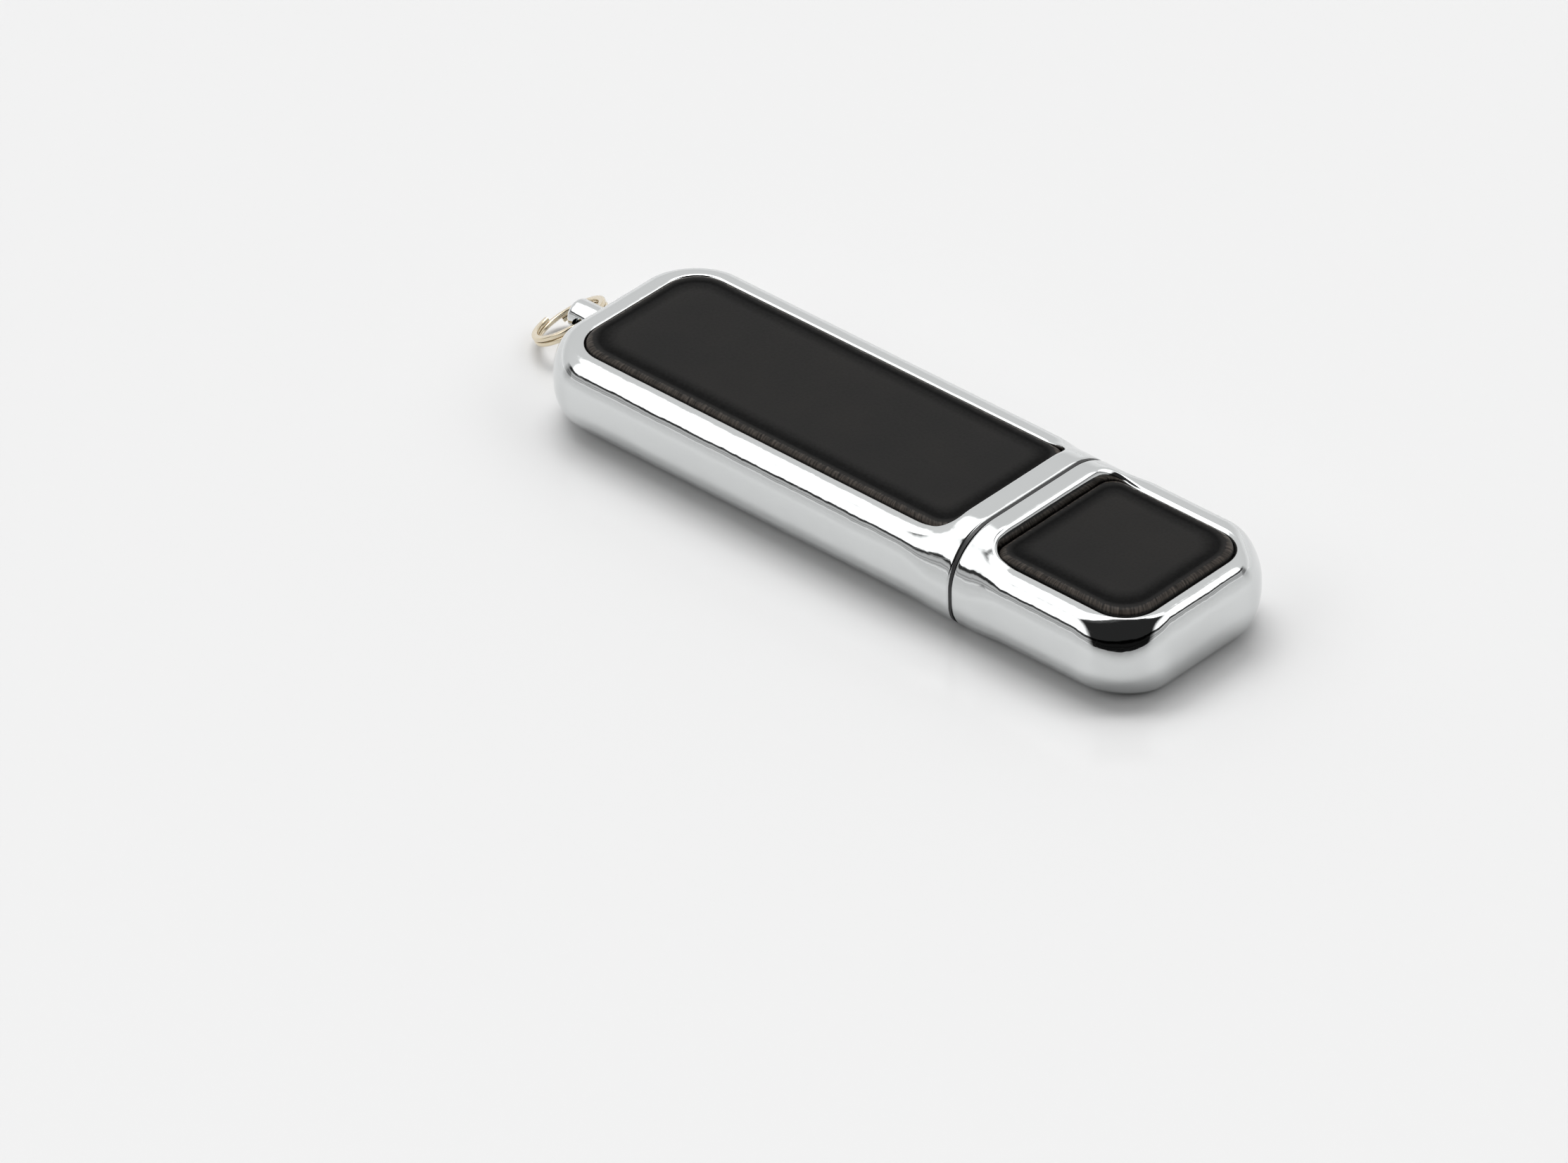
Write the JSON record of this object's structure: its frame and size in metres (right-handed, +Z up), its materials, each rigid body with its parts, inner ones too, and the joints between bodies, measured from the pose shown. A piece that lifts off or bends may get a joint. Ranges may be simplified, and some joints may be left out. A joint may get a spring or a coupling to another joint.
{
  "type": "usb flash drive",
  "caption": "Capped USB flash drive: chrome-plated frame with padded leather inlays, pull-off cap and a key ring on a swivel post.",
  "frame": {"origin": "middle of the closed case, on the plane that the drive rests on", "axes": "+X from the key-ring end to the cap end, +Y across the width, +Z up out of the top leather"},
  "size_m": [0.0774, 0.021, 0.0091],
  "materials": {
    "chrome_plate": "bright chrome plate on die-cast zinc",
    "nickel_plate": "nickel plate, slightly warm",
    "black_leather": "black smooth-grain leather, padded",
    "fibre_card": "pressed fibre card",
    "foam_sheet": "soft closed-cell foam sheet",
    "adhesive_tape": "double-sided tape",
    "black_abs": "moulded black ABS",
    "stamped_steel": "nickel-plated stamped steel",
    "plug_plastic": "moulded black insulator",
    "gold_plate": "gold-plated contact strip",
    "green_laminate": "glass-fibre board with green solder mask",
    "chip_epoxy": "moulded black epoxy",
    "tinned_lead": "tin-plated leads",
    "crystal_can": "plated metal lid",
    "capacitor_ceramic": "sintered ceramic",
    "resistor_film": "ceramic chip with a black film"
  },
  "bodies": {
    "drive": {"body_frame": "chrome_plate", "collar": "black_abs", "plug_shell": "stamped_steel", "plug_insulator": "plug_plastic", "plug_contacts": "gold_plate", "core_upper": "black_abs", "core_lower": "black_abs", "board": "green_laminate", "flash_chip": "chip_epoxy", "flash_chip_leads": "tinned_lead", "controller_chip": "chip_epoxy", "controller_chip_leads": "tinned_lead", "crystal": "crystal_can", "capacitors": "capacitor_ceramic", "resistors": "resistor_film", "post_washer": "stamped_steel", "body_top_tape": "adhesive_tape", "body_top_card": "fibre_card", "body_top_foam": "foam_sheet", "body_top_leather": "black_leather", "body_bottom_tape": "adhesive_tape", "body_bottom_card": "fibre_card", "body_bottom_foam": "foam_sheet", "body_bottom_leather": "black_leather"},
    "cap": {"cap_frame": "chrome_plate", "cap_liner": "black_abs", "cap_top_tape": "adhesive_tape", "cap_top_card": "fibre_card", "cap_top_foam": "foam_sheet", "cap_top_leather": "black_leather", "cap_bottom_tape": "adhesive_tape", "cap_bottom_card": "fibre_card", "cap_bottom_foam": "foam_sheet", "cap_bottom_leather": "black_leather"},
    "post": {"keyring_post": "nickel_plate"},
    "ring": {"split_ring": "nickel_plate"}
  },
  "joints": [
    {"name": "cap_slide", "type": "slide", "parent": "drive", "child": "cap", "axis": [1, 0, 0], "range_m": [0, 0.02]},
    {"name": "post_swivel", "type": "hinge", "parent": "drive", "child": "post", "pos_m": [-0.0345, 0, 0.004], "axis": [1, 0, 0], "continuous": true},
    {"name": "ring_swing", "type": "hinge", "parent": "post", "child": "ring", "pos_m": [-0.03675, 0, 0.004], "axis": [0, 0.9848, 0.1736], "range_deg": [-72, 132]}
  ]
}
